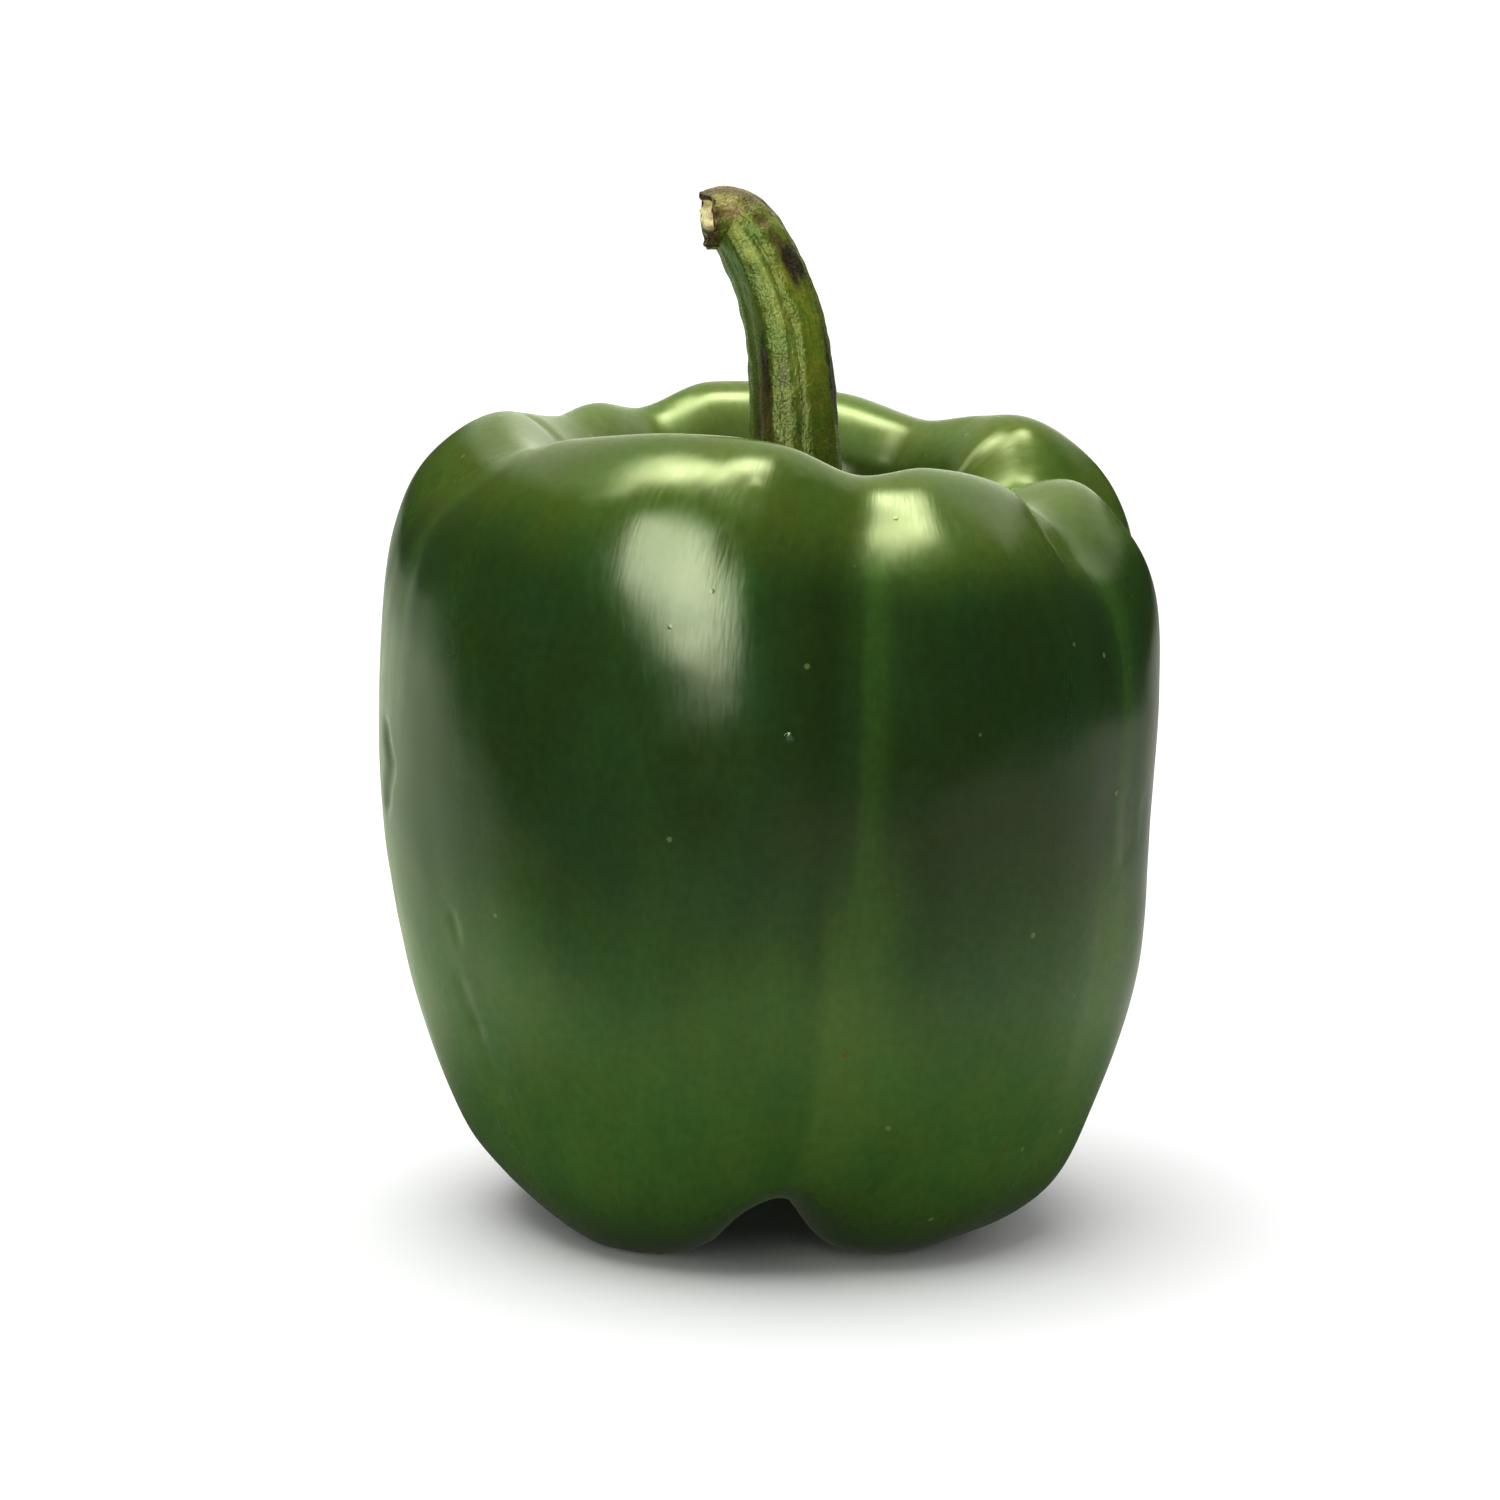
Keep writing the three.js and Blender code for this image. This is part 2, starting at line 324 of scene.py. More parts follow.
MARKS = [  # the bearings and stations along each mark, then its width, its depth and the lip beside it
    ([(280.2, 8.89), (281.2, 8.74), (282.0, 8.52)], 0.0010, 0.00055, 0.00005),  # pit in the left shoulder
    ([(290.2, 6.60), (293.4, 6.40), (289.5, 6.13)], 0.0013, 0.0005, 0),  # left dent
    ([(281.8, 5.56), (281.8, 5.42)], 0.0009, 0.0004, 0),  # nick below it
    ([(311.4, 5.52), (312.0, 5.40)], 0.0009, 0.00022, 0),  # creases at the lower left
    ([(310.6, 5.05), (312.6, 4.80)], 0.0013, 0.00022, 0),
    ([(313.0, 4.72), (315.5, 4.35)], 0.0014, 0.00026, 0),
    ([(71.6, 6.25), (71.9, 5.85)], 0.0013, 0.00013, 0),  # wrinkles at the right
    ([(74.5, 6.20), (74.8, 5.95)], 0.0012, 0.00012, 0),
    ([(78.0, 6.15), (78.1, 5.95)], 0.0011, 0.00010, 0),
    ([(254.0, 10.2), (256.0, 10.7)], 0.0012, 0.0004, 0),  # fold over the left rim
    ([(196.0, 6.6), (199.0, 6.0)], 0.0012, 0.0003, 0),  # scuffs on the back
    ([(142.0, 5.1), (144.0, 4.7)], 0.0010, 0.0003, 0),
    ([(1.0, 9.13), (2.2, 9.09)], 0.0008, -0.00007, 0),  # raised scars on the front shoulder
    ([(7.4, 9.40), (7.6, 9.40)], 0.0005, -0.00010, 0),
]
for path, width, depth, lip in MARKS:
    relief = hollowed(relief, path, width, depth, lip)
skin = smooth_skin + skin_out * relief[..., None]
skin[..., 2] = np.maximum(skin[..., 2], 0)

DEEP_GREEN = np.array([0.0162, 0.0390, 0.0058])
BLUE_GREEN = np.array([0.0152, 0.0500, 0.0110])
LEAF_GREEN = np.array([0.0470, 0.1200, 0.0140])
SHOULDER_GREEN_AND_TOP_LIGHT = np.array([0.0600, 0.1020, 0.0110])
YELLOW_GREEN = np.array([0.1200, 0.1850, 0.0250])


def blend(base, layer, share):
    """Paints layer over base by share."""
    return base + (layer - base) * np.clip(share, 0, 1)[..., None]


def turn_from(around, bearing):
    """How far round each place is from a bearing, -180 to 180."""
    return np.mod(around - bearing + 180, 360) - 180


tint = DEEP_GREEN + np.zeros_like(skin)
patches = lumps(smooth_skin, 0.016, 21.3)
small_patches = lumps(skin_grain, (0.005, 0.005, 0.014), 12.9)
tint = blend(tint, BLUE_GREEN, 0.35 + 0.9 * patches)
# Paler green low down and over the shoulders and crest is partly the skin's own colour and partly painted
# light: floor bounce below, light from above on top.
tint = blend(tint, LEAF_GREEN, 0.75 * soft_step(along + 0.5 * patches, 6.3, 4.6) + 0.15 * small_patches)
tint = blend(tint, SHOULDER_GREEN_AND_TOP_LIGHT, 0.85 * soft_step(along + 0.6 * patches, 7.9, 9.2))
tint = blend(tint, YELLOW_GREEN, 0.6 * soft_step(along, 9.3, 10.3))
# Painted shade: darker down inside the hollow below the crest, and under the body towards the blossom end.
tint = blend(tint, DEEP_GREEN, 0.85 * soft_step(along, 10.4, 11.2))
tint = blend(tint, DEEP_GREEN, 0.7 * soft_step(along + 0.3 * patches, 3.9, 2.6))
# Painted shade low in the front groove, where it opens into the notch between the feet.
groove_foot_shade = np.exp(-(turn_from(around, 16) / 22) ** 2)
tint = blend(tint, DEEP_GREEN, 0.4 * groove_foot_shade * soft_step(along + 0.3 * patches, 4.6, 3.6))
# Painted shade over the right front lobe, the side turned from the light.
right_front_shade = soft_step(around, 22, 34) * soft_step(around, 66, 50)
right_front_shade *= soft_step(along, 5.0, 6.0) * soft_step(along, 8.6, 7.6)
tint = blend(tint, 0.6 * DEEP_GREEN, 0.45 * right_front_shade)

GROOVES = (19, 67, 99, 141, 212, 237, 291)
for groove in GROOVES:
    gap = turn_from(around, groove + 2.2)
    line = soft_step(gap, -1.6, 0.2) * soft_step(gap, 5.0, 1.0)
    line *= soft_step(along, 9.8, 8.6) * soft_step(along, 5.2, 6.4)
    wide = soft_step(gap, -6.5, -3.0) * soft_step(gap, 9.0, 1.0)
    wide *= soft_step(along, 6.3, 5.2) * soft_step(along, 3.2, 4.2)
    # Painted shade darkens the flank beside each groove.
    dark = np.exp(-((gap + 6) / 3.5) ** 2) * soft_step(along, 4.6, 6.6) * soft_step(along, 9.4, 8.0)
    tint = blend(tint, 0.6 * DEEP_GREEN, 0.55 * dark)
    tint = blend(tint, LEAF_GREEN, 0.28 * line)
    tint = blend(tint, 0.5 * LEAF_GREEN + 0.5 * YELLOW_GREEN, 0.3 * wide)
fruit = closed_mesh("fruit_skin", skin, tint, skin_grain)

STREAK_WIDTH = 0.00035
STREAK_LENGTH = 0.0022
STREAK_HEIGHT = 0.000007
CELL_SIZE = 0.0011
CLOUD_SIZE = 0.007
PORE_HEIGHT = 0.00002
BEAD_RADIUS = 0.00060
BEAD_HEIGHT = 0.0004
FLECK_RADIUS = 0.00030
WAX_INDEX = 1.46
WAX_TINT = (0.99, 1.0, 0.84, 1)
PALE_SPECK = (0.16, 0.22, 0.07, 1)
BEAD_SHEEN_GREEN = (0.060, 0.100, 0.050, 1)
RUST_RED = (0.15, 0.035, 0.010, 1)
look = Look("green_skin", roughness=0.2)
look.shader.inputs["IOR"].default_value = WAX_INDEX
look.shader.inputs["Specular Tint"].default_value = WAX_TINT
place = look.add("TexCoord").outputs["Object"]
grain = look.attribute("grain")
streaks = look.noise(grain, STREAK_WIDTH, STREAK_LENGTH, 1.0)
cells = look.noise(place, CELL_SIZE, CELL_SIZE, 3.0)
clouds = look.noise(place, CLOUD_SIZE, CLOUD_SIZE, 3.0)
shade = look.add("HueSaturation", Color=look.attribute("tint", "Color"))
look.fill(shade.inputs["Value"], look.sum("MULTIPLY", look.from_to(cells, 0.25, 0.75, 0.92, 1.08),
                                          look.from_to(streaks, 0.25, 0.75, 0.96, 1.04)))
look.fill(shade.inputs["Hue"], look.from_to(clouds, 0.3, 0.7, 0.49, 0.51))

# Breathing pores show as sparse pale specks.
pores = look.add("TexVoronoi", Vector=place, Scale=210.0)
rare = look.from_to(look.add("SeparateXYZ", Vector=pores.outputs["Color"]).outputs["X"], 0.62, 0.64)
specks = look.sum("MULTIPLY", look.from_to(pores.outputs["Distance"], 0.085, 0.045), rare)
paint = look.over(shade.outputs[0], PALE_SPECK, look.sum("MULTIPLY", specks, 0.5))

# A clear bead stands on the front left lobe, painted a paler green as a painted sheen for the light it
# catches, and a rust-red fleck lies low in the front groove.
bead = look.near(place, skin_place(10.0, 6.94), 0.00025, BEAD_RADIUS)
fleck = look.near(place, skin_place(21.2, 4.81), 0.00010, FLECK_RADIUS)
paint = look.over(paint, BEAD_SHEEN_GREEN, look.sum("MULTIPLY", bead, 0.7))
paint = look.over(paint, RUST_RED, fleck)
look.fill(look.shader.inputs["Base Color"], paint)
cloud_roughness = look.from_to(clouds, 0.3, 0.7, 0.17, 0.24)
streak_roughness = look.from_to(streaks, 0.3, 0.7, -0.02, 0.03)
look.fill(look.shader.inputs["Roughness"], look.sum("ADD", cloud_roughness, streak_roughness))
look.bumps((streaks, STREAK_HEIGHT), (specks, PORE_HEIGHT), (bead, BEAD_HEIGHT))

# The wax is worn thin on the inner side of the back right lobe.
dull = look.near(place, skin_place(113.0, 10.5), 0.005, 0.014)
look.fill(look.shader.inputs["Specular IOR Level"], look.from_to(dull, 0, 1, 0.5, 0.28))
fruit.data.materials.append(look.material)
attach(fruit, "root")
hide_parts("fruit")

# The stalk and its calyx are one grown piece: ridged woody green flesh that widens into a toothed cap on
# the hollow's floor. It was broken off the plant, so its tip is torn, brown-barked and pale inside.
STEM_LINE = [  # the middle line's x, y and z, and the stalk's radius there
    (0.0031, 0.0000, 0.0805, 0.00540),
    (0.0029, 0.0012, 0.0879, 0.00490),
    (0.0025, 0.0027, 0.0947, 0.00470),
    (0.0017, 0.0040, 0.1006, 0.00445),
    (0.0001, 0.0051, 0.1057, 0.00415),
    (-0.0019, 0.0060, 0.1098, 0.00395),
    (-0.0042, 0.0066, 0.1124, 0.00355),
    (-0.0071, 0.0059, 0.1123, 0.00320),
]
STEM_RIDGES = 5
RIDGE_BEARING = -27
RIDGE_HEIGHT = 0.06
CALYX_REACH = 0.84
CALYX_TOOTH = 0.16
CALYX_TEETH = 6
CALYX_THICKNESS = 0.0013
SEAT_GAP = 0.00035
STEM_COLUMNS = 180


def calyx_ring(bearing, share, lift):
    """A ring of the calyx, share of the way from its middle to its toothed edge, lift above the fruit."""
    wave = np.cos(np.radians(CALYX_TEETH * (bearing - RIDGE_BEARING)))
    reach = CALYX_REACH + CALYX_TOOTH * np.clip(wave, 0, None) ** 2
    ring = np.array([skin_place(b, LAST_STATION - share * r) for b, r in zip(bearing, reach)])
    ring[:, 2] += lift
    return ring


def stem_ring(bearing, share, scale=1.0, push=0.0):
    """A ring of the stalk, share of the way from the calyx to the broken tip."""
    line = np.array(STEM_LINE)
    place = np.array([share * (len(STEM_LINE) - 1)])
    centre = smooth_through(line, place)[0]
    step = 0.001
    run = (smooth_through(line, place + step) - smooth_through(line, place - step))[0, :3]
    run = run / np.linalg.norm(run)
    across = np.cross((0, 1, 0), run)
    across = across / np.linalg.norm(across)
    forward = np.cross(across, run)
    angle = np.radians(bearing)[:, None]
    wave = np.cos(np.radians(STEM_RIDGES * (bearing - RIDGE_BEARING)))
    radius = (centre[3] * scale * (1 + RIDGE_HEIGHT * wave))[:, None]
    ring = centre[:3] + radius * (np.sin(angle) * across + np.cos(angle) * forward)
    return ring + (push + 0 * bearing)[:, None] * run + np.array([*CENTRING, 0])


T = CALYX_THICKNESS
CALYX_ROWS = [(0, SEAT_GAP), (0.5, SEAT_GAP), (0.97, SEAT_GAP), (1, SEAT_GAP + 0.5 * T),
              (0.95, SEAT_GAP + T), (0.78, SEAT_GAP + 1.5 * T), (0.6, SEAT_GAP + 2.4 * T)]
STALK_RINGS = 19
STEPS_BETWEEN = 6
around_stem = np.arange(STEM_COLUMNS) * 360 / STEM_COLUMNS
rings = [calyx_ring(around_stem, share, lift) for share, lift in CALYX_ROWS]
rings += [stem_ring(around_stem, share) for share in np.linspace(0, 1, STALK_RINGS)]
knots = np.array(rings)
places = np.linspace(0, len(knots) - 1, (len(knots) - 1) * STEPS_BETWEEN + 1)
stalk = smooth_through(knots, places)
stalk_share = (places - len(CALYX_ROWS)) / (STALK_RINGS - 1)  # negative on the calyx

# The broken end: a ragged bark edge with a beak on top and a lobe below, round a sunken pale pith.
BEAK = 0.0013
LOBE = 0.0007
ragged = np.array([noise.noise((4 * np.sin(a), 4 * np.cos(a), 7.7)) for a in np.radians(around_stem)])
splinters = np.array([noise.noise((15 * np.sin(a), 15 * np.cos(a), 2.2)) for a in np.radians(around_stem)])
beak_side = np.exp(-(turn_from(around_stem, 92) / 32) ** 2)
reach = BEAK * beak_side + LOBE * np.exp(-(turn_from(around_stem, 285) / 45) ** 2)
reach += 0.0005 * ragged + 0.00025 * splinters - 0.0004
bark = 0.13 + 0.20 * beak_side
END_ROWS = [  # share of the way in through the bark, share of the ragged reach
    (0.00, 0.35), (0.04, 0.70), (0.15, 0.92), (0.35, 1.00), (0.60, 1.00), (0.80, 0.80), (0.92, 0.40),
]
PITH_ROWS = [  # scale across, push along the stalk
    (0.97, -0.0006), (0.90, -0.0008), (0.82, -0.0007), (0.72, -0.0003), (0.60, 0.0002), (0.46, 0.0004),
    (0.30, 0.0004), (0.15, 0.0004), (0.00, 0.0004),
]
end_rings = [stem_ring(around_stem, 1, 1 - share * bark, lip * reach) for share, lip in END_ROWS]
end_rings += [stem_ring(around_stem, 1, scale * (1 - bark), push) for scale, push in PITH_ROWS]
end_rings = np.array(end_rings)
crumbs = lumps(end_rings, 0.0011, 4.4)
crumbs[-1] = crumbs[-1].mean()
crumb_size = np.array([0.0, 0.0001, 0.00015, 0.00015, 0.0002, 0.0002, 0.0003, 0.0004,
                       0.0005, 0.0006, 0.0006, 0.0006, 0.0006, 0.0005, 0.0004, 0.0003])
TIP_WAY = np.array([-0.95, -0.30, -0.03])
end_rings = end_rings + (crumbs * crumb_size[:, None])[..., None] * TIP_WAY
stem_points = np.concatenate([stalk, end_rings])
end_share = 1 + 0.01 * np.arange(1, len(end_rings) + 1)
stem_share = np.concatenate([stalk_share, end_share])[:, None] + 0 * around_stem[None, :]
stem_around = around_stem[None, :] + 0 * stem_share
stem_grain = unrolled(around_stem[None, :], 0.0045, arc_lengths(stem_points))

# Long fibres, the five sharper ridges, and small knobs and scuffs.
on_stalk = soft_step(stem_share, -0.12, 0.05) * soft_step(stem_share, 1.02, 0.98)
on_calyx = soft_step(stem_share, 0.05, -0.12) * soft_step(stem_share, -0.37, -0.28)
fibres = lumps(stem_grain, (0.0008, 0.0008, 0.012), 1.7)
fine_fibres = lumps(stem_grain, (0.0004, 0.0004, 0.005), 6.1)
knobs = lumps(stem_points, 0.0016, 9.9)
ridge_wave = np.cos(np.radians(STEM_RIDGES * (stem_around - RIDGE_BEARING)))
sharper = np.abs(ridge_wave) ** 3 * np.sign(ridge_wave) - 0.6 * ridge_wave
second_ridge = np.exp(-(turn_from(stem_around, 42) / 30) ** 2)
sharper *= 1 - 0.8 * second_ridge
stem_relief = on_stalk * (0.00006 * fibres + 0.00005 * fine_fibres + 0.00016 * knobs + 0.00018 * sharper)
stem_relief -= on_stalk * 0.00026 * ridge_wave * second_ridge  # the ridge at the right front is low

# A furrow and a rib lie low down, beside the sharp ridge at the left front.
furrow = np.exp(-((turn_from(stem_around, -24) / 5) ** 2))
rib = np.exp(-((turn_from(stem_around, -2) / 6) ** 2))
low_down = soft_step(stem_share + 0.2 * fibres, 0.85, 0.60)
stem_relief += on_stalk * low_down * (0.00007 * rib - 0.00010 * furrow)
stem_relief += on_calyx * (0.00020 * knobs + 0.00012 * fibres)
stem_points = stem_points + facing_out(stem_points) * stem_relief[..., None]

STALK_GREEN = np.array([0.090, 0.125, 0.012])
PALE_GREEN_AND_SHEEN = np.array([0.170, 0.205, 0.040])
OLIVE = np.array([0.135, 0.175, 0.013])
SHADE_GREEN = np.array([0.060, 0.120, 0.010])
BARK_BROWN = np.array([0.075, 0.045, 0.018])
BRUISE = np.array([0.022, 0.016, 0.012])
STRAW = np.array([0.330, 0.270, 0.110])
TAN = np.array([0.230, 0.165, 0.050])
PITH = np.array([0.940, 0.840, 0.420])


def spot(bearing, share, wide, long):
    """A soft spot at a bearing and share of the stalk, with an uneven edge."""
    reach = (turn_from(stem_around, bearing) / wide) ** 2 + ((stem_share - share) / long) ** 2
    return soft_step(reach + 0.7 * fibres + 0.9 * knobs, 1.6, 0.2)


GREENS = [  # colour and strength, then the spot's bearing, share of the stalk, width and length
    (SHADE_GREEN, 0.8, -62, 0.62, 34, 0.50),  # painted shade on the facet that faces left
    (PALE_GREEN_AND_SHEEN, 0.30, -12, 0.66, 15, 0.30),  # the front facet, paler with painted light where it catches the light from above
    (PALE_GREEN_AND_SHEEN, 0.5, 2, 0.12, 16, 0.22),
    # painted highlight: a streak that drifts down the front of the stalk
    (1.5 * PALE_GREEN_AND_SHEEN, 0.65, -12, 0.76, 7, 0.14),
    (1.5 * PALE_GREEN_AND_SHEEN, 0.75, -4, 0.55, 6, 0.13),
    (1.5 * PALE_GREEN_AND_SHEEN, 0.6, 3, 0.34, 5, 0.12),
    (OLIVE, 0.8, 30, 0.38, 24, 0.42),
    # painted shade beside the sharp ridge at the left front
    (0.6 * SHADE_GREEN, 0.5, -27, 0.45, 10, 0.36),
    (0.7 * OLIVE, 0.4, 16, 0.45, 10, 0.36),
    (OLIVE, 0.6, 60, 0.72, 16, 0.16),
    (SHADE_GREEN, 0.7, 150, 0.4, 40, 0.5),
    (PALE_GREEN_AND_SHEEN, 0.4, 205, 0.45, 16, 0.5),
]
BRUISES = [
    (BARK_BROWN, 0.75, -52, 0.20, 20, 0.17),  # streaked brown, low on the left
    (BRUISE, 0.85, -38, 0.33, 7, 0.10),
    (BRUISE, 0.55, -60, 0.18, 8, 0.12),
    (BRUISE, 0.7, -12, 0.30, 5, 0.03),
    (BRUISE, 0.5, 12, 0.22, 5, 0.04),
    (BRUISE, 0.9, 76, 0.20, 17, 0.22),  # the dark right edge
    (BARK_BROWN, 0.85, 38, 0.68, 13, 0.15),  # the band up to the brown top
    (BRUISE, 0.95, 52, 0.585, 26, 0.075),
    (BARK_BROWN, 0.75, 170, 0.55, 15, 0.10),
    (BRUISE, 0.6, 230, 0.35, 10, 0.12),
]
tones = STALK_GREEN + np.zeros_like(stem_points)
for colour, strength, *where in GREENS:
    tones = blend(tones, colour, strength * spot(*where))
# Painted shade: the stalk darkens down towards the hollow.
tones = blend(tones, 0.5 * STALK_GREEN, 0.7 * soft_step(stem_share, 0.42, 0.05))
for colour, strength, *where in BRUISES:
    tones = blend(tones, colour, strength * spot(*where))

# The torn end: tan and brown bark, then pale pith that a brown lobe hides low down.
tones = blend(tones, TAN, 0.9 * soft_step(stem_share + 0.05 * fibres, 0.80, 0.90)
              * soft_step(np.abs(turn_from(stem_around, 90)), 105, 70))
tones = blend(tones, BARK_BROWN, 0.7 * soft_step(stem_share + 0.05 * fibres, 0.84, 0.95)
              * soft_step(np.abs(turn_from(stem_around, 115)), 75, 45))
tones = blend(tones, BARK_BROWN, 0.9 * soft_step(stem_share + 0.03 * knobs, 0.955, 0.985))
tones = blend(tones, BARK_BROWN, 0.85 * spot(72, 0.85, 30, 0.10))  # the brown top edge
tones = blend(tones, STRAW, 0.6 * spot(20, 0.89, 20, 0.045))
tones = blend(tones, 0.6 * BARK_BROWN, 0.9 * soft_step(stem_share, 1.005, 1.02))
tones = blend(tones, PITH, soft_step(stem_share + 0.006 * knobs, 1.060, 1.075))
tones = blend(tones, STRAW, 0.5 * soft_step(stem_share, 1.075, 1.09) * soft_step(knobs, 0.0, 0.4))
tones = blend(tones, 0.8 * BARK_BROWN, soft_step(stem_share, 1.03, 1.06)
              * soft_step(stem_points[..., 2] + 0.0004 * knobs, 0.1120, 0.1112))
# Painted shade on the calyx down in the hollow, and a painted sheen on its ridges.
tones = blend(tones, SHADE_GREEN, 0.5 * on_calyx)
tones = blend(tones, PALE_GREEN_AND_SHEEN, 0.35 * on_calyx * np.clip(ridge_wave, 0, 1) ** 4)
tones *= (1 + 0.12 * fibres + 0.08 * fine_fibres)[..., None]
stem = closed_mesh("stem_with_calyx", stem_points, tones, stem_grain)

FIBRE_WIDTH = 0.00022
FIBRE_LENGTH = 0.0035
FIBRE_DEPTH = 0.00004
GRIT_SIZE = 0.00035
GRIT_DEPTH = 0.00013
BLOTCH_SIZE = 0.0022
BLOTCH_DEPTH = 0.00018
STALK_SHINE = 0.26
STALK_SHINE_TINT = (0.95, 1.0, 0.60, 1)
look = Look("green_stalk", roughness=0.4)
look.shader.inputs["Specular IOR Level"].default_value = STALK_SHINE
look.shader.inputs["Specular Tint"].default_value = STALK_SHINE_TINT
place = look.add("TexCoord").outputs["Object"]
grain = look.attribute("grain")
fibre_lines = look.noise(grain, FIBRE_WIDTH, FIBRE_LENGTH, 3.0)
grit = look.noise(place, GRIT_SIZE, GRIT_SIZE, 3.0)
blotches = look.noise(place, BLOTCH_SIZE, BLOTCH_SIZE, 3.0)
shade = look.add("HueSaturation", Color=look.attribute("tint", "Color"))
look.fill(shade.inputs["Value"], look.sum("MULTIPLY", look.from_to(fibre_lines, 0.25, 0.75, 0.82, 1.18),
                                          look.from_to(grit, 0.3, 0.7, 0.85, 1.15)))
look.fill(shade.inputs["Hue"], look.from_to(blotches, 0.3, 0.7, 0.475, 0.525))
look.fill(look.shader.inputs["Base Color"], shade.outputs[0])
look.fill(look.shader.inputs["Roughness"], look.from_to(grit, 0.3, 0.7, 0.14, 0.38))
look.bumps((fibre_lines, FIBRE_DEPTH), (grit, GRIT_DEPTH), (blotches, BLOTCH_DEPTH))
stem.data.materials.append(look.material)
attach(stem, "root")
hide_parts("stem")

# The floor is plain white paper, and isn't part of the object.
FLOOR_HALF = 6.0
PAPER_WHITE = (0.84, 0.84, 0.84, 1)
PAPER_GLOW = 0.06
PAPER_GLOW_TINT = (1, 1, 1, 1)
corners = [(-1, -1), (1, -1), (1, 1), (-1, 1)]
floor_mesh = bpy.data.meshes.new("floor")
floor_mesh.from_pydata([(x * FLOOR_HALF, y * FLOOR_HALF, 0) for x, y in corners], [], [(0, 1, 2, 3)])
floor = bpy.data.objects.new("floor", floor_mesh)
bpy.context.scene.collection.objects.link(floor)
look = Look("white_paper", roughness=1.0)
look.shader.inputs["Base Color"].default_value = PAPER_WHITE
look.shader.inputs["Specular IOR Level"].default_value = 0

# The lit part of the paper lies mostly behind the pepper. What the skin mirrors of it is painted by place.
place = look.add("TexCoord").outputs["Object"]
spot_axes = look.add("SeparateXYZ", Vector=place).outputs
left_of = look.sum("MINIMUM", spot_axes["X"], 0)
behind = look.sum("ADD", spot_axes["Y"], look.sum("MULTIPLY", left_of, 0.46))
lit = look.from_to(behind, -0.15, -0.055)
side_way = look.from_to(spot_axes["X"], -0.25, 0.25, 1.0, 0.50)
right_of = look.sum("ADD", spot_axes["X"], look.sum("MULTIPLY", spot_axes["Y"], -0.6))
right_edge = look.from_to(right_of, 0.30, 0.15)
far_glow = look.sum("MULTIPLY", look.sum("MULTIPLY", lit, side_way), right_edge)
near_lit = look.near(place, (0.08, 0.06, 0), 0.22, 0.28)
near_glow = look.sum("MULTIPLY", near_lit, look.from_to(spot_axes["X"], -0.02, 0.15, 0.27, 0.48))
reach = look.add("VectorMath", {"operation": "LENGTH"}, Vector=place).outputs["Value"]
shadow = look.from_to(reach, 0.045, 0.10, 0.10, 1.0)
far_glow = look.sum("MULTIPLY", far_glow, look.from_to(reach, 0.45, 0.9, 1.0, 0.5))
glow = look.sum("MULTIPLY", look.sum("MAXIMUM", far_glow, near_glow), shadow)
GLOW_LEFT = (0.86, 1.0, 0.70, 1)
GLOW_RIGHT = (1.0, 1.0, 0.90, 1)
glow_colour = look.over(GLOW_LEFT, GLOW_RIGHT, look.from_to(spot_axes["X"], -0.1, 0.1))
painted = look.add("Emission", Strength=glow, Color=glow_colour)
rays = look.add("LightPath").outputs
seen = look.add("MixShader", Fac=rays["Is Glossy Ray"])
look.fill(seen.inputs[1], look.shader.outputs[0])
look.fill(seen.inputs[2], painted.outputs[0])
look.fill(look.output.inputs["Surface"], seen.outputs[0])

# Painted light: the paper glows a little to the lens, but not right under the pepper, which leaves a painted
# shadow there.
look.shader.inputs["Emission Color"].default_value = PAPER_GLOW_TINT
paper_glow = look.sum("MULTIPLY", rays["Is Camera Ray"], look.from_to(reach, 0.012, 0.045, 0.0, PAPER_GLOW))
look.fill(look.shader.inputs["Emission Strength"], paper_glow)
floor_mesh.materials.append(look.material)

# The camera looks a little down from in front, from as far as the photograph's outlines show.
CAMERA_RISE = 10.5
CAMERA_DISTANCE = 0.56
CAMERA_AIM = Vector((-0.0018, -0.0005, 0.0531))
CAMERA_LENS = 119.1
rise = np.radians(CAMERA_RISE)
back = Vector((0, -np.cos(rise), np.sin(rise)))
camera_data = bpy.data.cameras.new("camera")
camera_data.lens = CAMERA_LENS
camera_data.sensor_width = 36
camera = bpy.data.objects.new("camera", camera_data)
camera.location = CAMERA_AIM + back * CAMERA_DISTANCE
camera.rotation_euler = back.to_track_quat("Z", "Y").to_euler()
bpy.context.scene.collection.objects.link(camera)
bpy.context.scene.camera = camera

# A wide soft light from above, a little to the left, shades the pepper. The skin doesn't mirror it.
SUN_STRENGTH = 0.95
SUN_WIDTH = 60
SUN_AZIMUTH = -95
SUN_RISE = 83


def from_the(azimuth, rise):
    """The direction out from the pepper. Azimuth 0 is in front and 90 is towards +X."""
    a, e = np.radians(azimuth), np.radians(rise)
    return Vector((np.sin(a) * np.cos(e), -np.cos(a) * np.cos(e), np.sin(e)))


sun_data = bpy.data.lights.new("soft_sun", "SUN")
sun_data.energy = SUN_STRENGTH * np.pi
sun_data.angle = np.radians(SUN_WIDTH)
sun = bpy.data.objects.new("soft_sun", sun_data)
sun.rotation_euler = from_the(SUN_AZIMUTH, SUN_RISE).to_track_quat("Z", "Y").to_euler()
sun.visible_glossy = False
bpy.context.scene.collection.objects.link(sun)

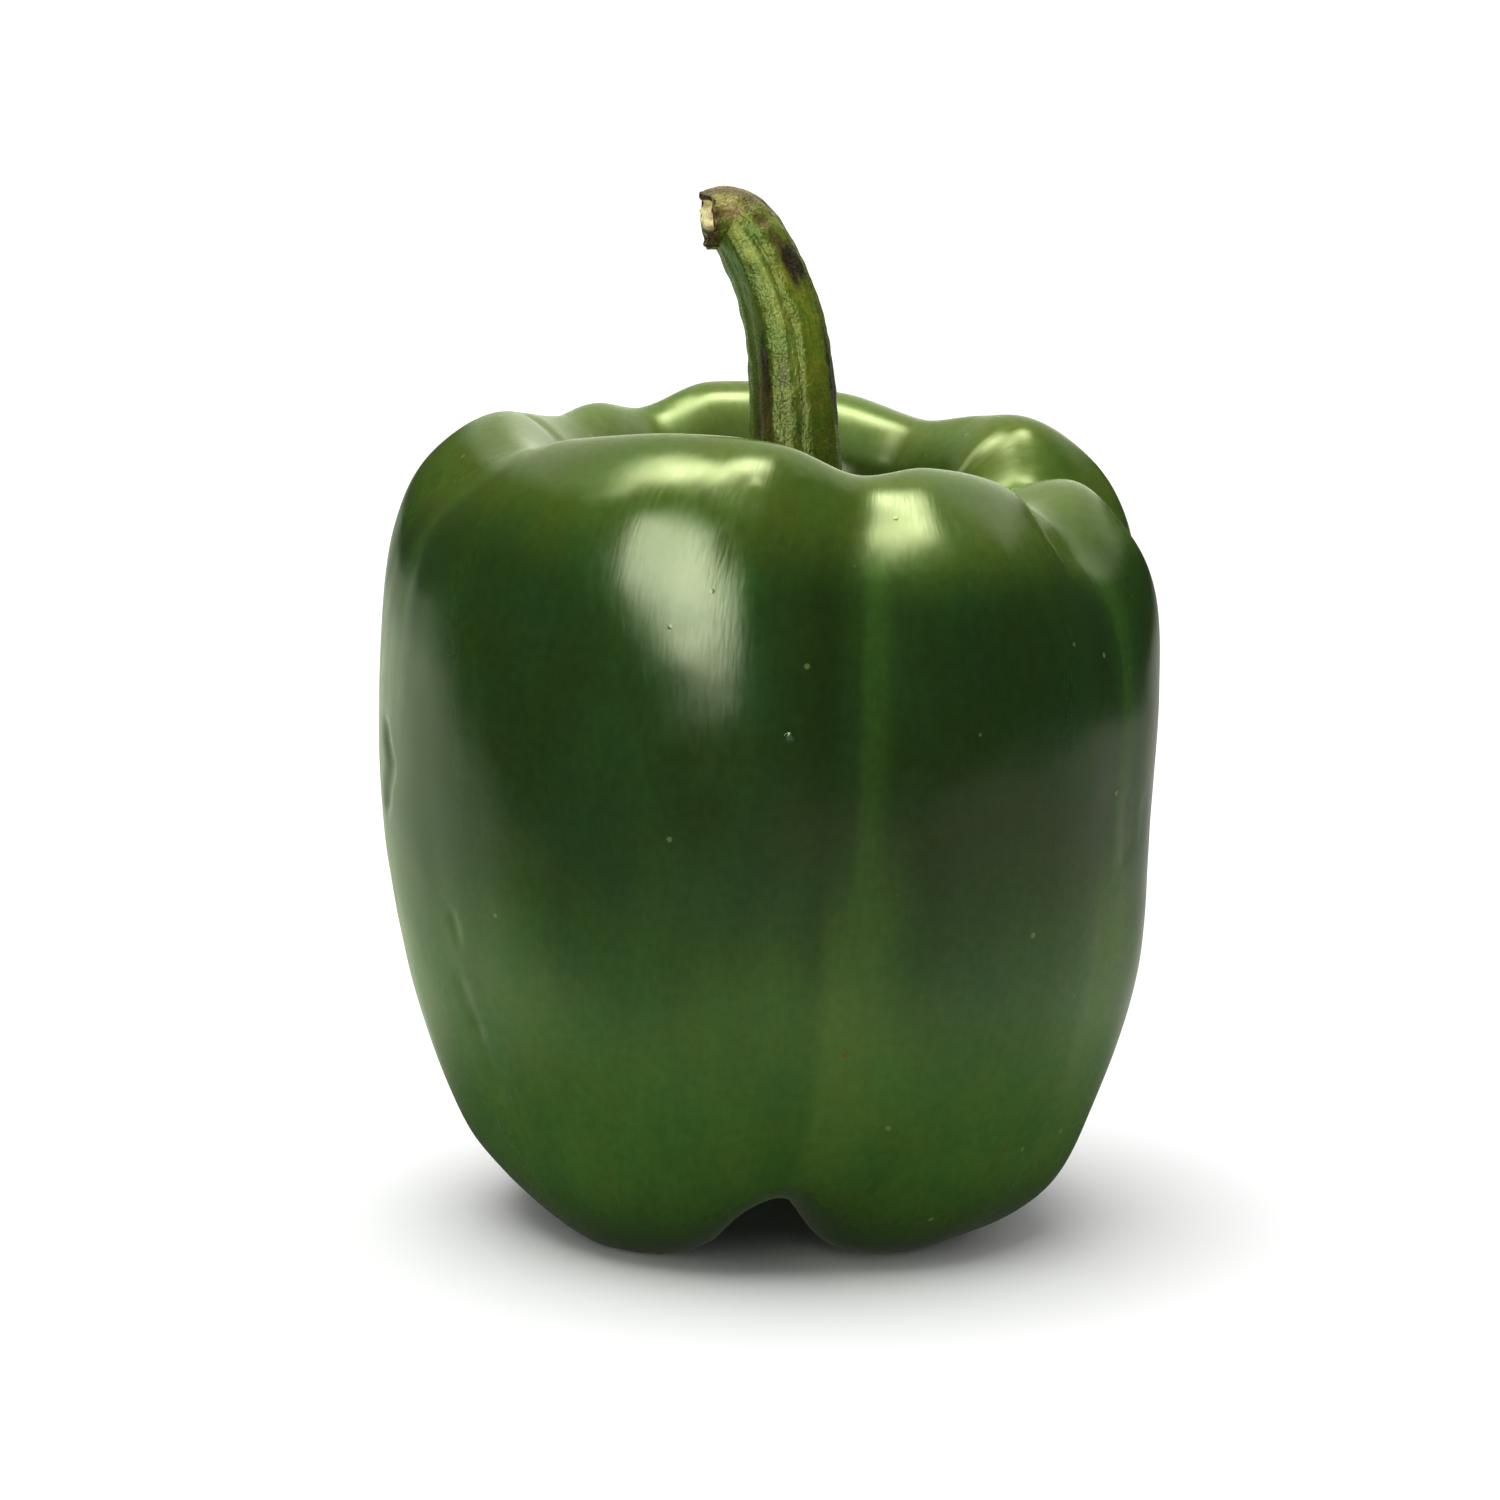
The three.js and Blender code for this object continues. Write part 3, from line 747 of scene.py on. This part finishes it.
# The studio round the pepper is painted by direction, for what the skin mirrors. The lens sees plain white.
world = bpy.data.worlds.new("studio")
bpy.context.scene.world = world
world.use_nodes = True
sky = Nodes(world.node_tree)
background = world.node_tree.nodes["Background"]
toward = sky.add("SeparateXYZ", Vector=sky.add("TexCoord").outputs["Generated"]).outputs
ahead = sky.sum("MULTIPLY", toward["Y"], -1)
azimuth = sky.sum("DEGREES", sky.sum("ARCTAN2", toward["X"], ahead))
height = sky.sum("DEGREES", sky.sum("ARCSINE", toward["Z"]))

# The window: its foot is hidden on the left by a sill that slants down to the right.
slant = sky.sum("ADD", height, sky.sum("MULTIPLY_ADD", azimuth, 1.1, 24))
window = sky.sum("MULTIPLY", sky.from_to(azimuth, -46, -36), sky.from_to(azimuth, -2, -6))
window = sky.sum("MULTIPLY", window, sky.from_to(height, 57, 49))
window = sky.sum("MULTIPLY", window, sky.from_to(height, -13, -9))
window = sky.sum("MULTIPLY", window, sky.from_to(slant, -4, 8))
window = sky.sum("MULTIPLY", window, sky.from_to(azimuth, -27, -17, 14.5, 17.0))
window = sky.sum("MULTIPLY", window, sky.from_to(height, -5, 25, 0.72, 1.0))

# The lamps overhead are soft round pools in a row.
LAMPS = [  # the direction of each, how far it spreads and how bright it is
    ((-0.46, -0.02, 0.89), 0.16, 8.0),
    ((-0.28, 0.14, 0.95), 0.24, 17.0),
    ((-0.15, -0.01, 0.99), 0.19, 32.0),
    ((0.02, -0.11, 0.99), 0.18, 18.0),
    ((0.05, -0.19, 0.98), 0.12, 14.0),
    ((0.20, 0.00, 0.98), 0.20, 34.0),
]
direction = sky.add("TexCoord").outputs["Generated"]
lamps = 0.0
for middle, spread, brightness in LAMPS:
    pool = sky.near(direction, middle, 0.1 * spread, spread)
    lamps = sky.sum("MULTIPLY_ADD", pool, brightness, lamps)

# The lit backdrop behind, and the ceiling's glow.
to_right = sky.from_to(toward["X"], -0.25, 0.25)
aside = sky.sum("SUBTRACT", sky.sum("ABSOLUTE", toward["X"]), sky.sum("MULTIPLY", toward["Z"], 0.72))
aside = sky.sum("MULTIPLY_ADD", to_right, -0.09, aside)
backdrop = sky.sum("MULTIPLY", sky.from_to(aside, 0.16, 0.04), sky.from_to(toward["Y"], 0.1, 0.3))
backdrop = sky.sum("MULTIPLY", backdrop, sky.sum("MULTIPLY_ADD", to_right, 0.7, 0.75))
ceiling = sky.sum("MULTIPLY", sky.from_to(toward["X"], -0.3, 0.0), sky.from_to(toward["Z"], 0.80, 0.93))
ceiling = sky.sum("MULTIPLY", ceiling, sky.from_to(toward["Y"], -0.48, -0.30))

# All of it together, over the walls' faint grey. The dome lights the pepper more from behind.
WALL_GREY = 0.03
CEILING_STRENGTH = 0.85
mirrored = sky.sum("MAXIMUM", backdrop, sky.sum("MULTIPLY", ceiling, CEILING_STRENGTH))
mirrored = sky.sum("ADD", mirrored, WALL_GREY)
mirrored = sky.sum("ADD", mirrored, sky.sum("ADD", window, lamps))
rays = sky.add("LightPath").outputs
from_behind = sky.from_to(toward["Y"], -0.5, 0.6, 0.35, 0.80)
dome = sky.sum("MULTIPLY", sky.sum("SUBTRACT", 1, rays["Is Glossy Ray"]), from_behind)
strength = sky.sum("ADD", dome, sky.sum("MULTIPLY", rays["Is Glossy Ray"], mirrored))
sky.fill(background.inputs["Strength"], sky.sum("MAXIMUM", strength, rays["Is Camera Ray"]))
LOW_LIGHT = (0.95, 1.0, 0.80, 1)
LAMP_LIGHT = (0.90, 1.0, 0.60, 1)
WHITE = (1, 1, 1, 1)
mirrored_tone = sky.over(LOW_LIGHT, LAMP_LIGHT, sky.from_to(toward["Z"], 0.75, 0.92))
sky.fill(background.inputs["Color"], sky.over(WHITE, mirrored_tone, rays["Is Glossy Ray"]))

bpy.context.scene.view_settings.view_transform = "Standard"
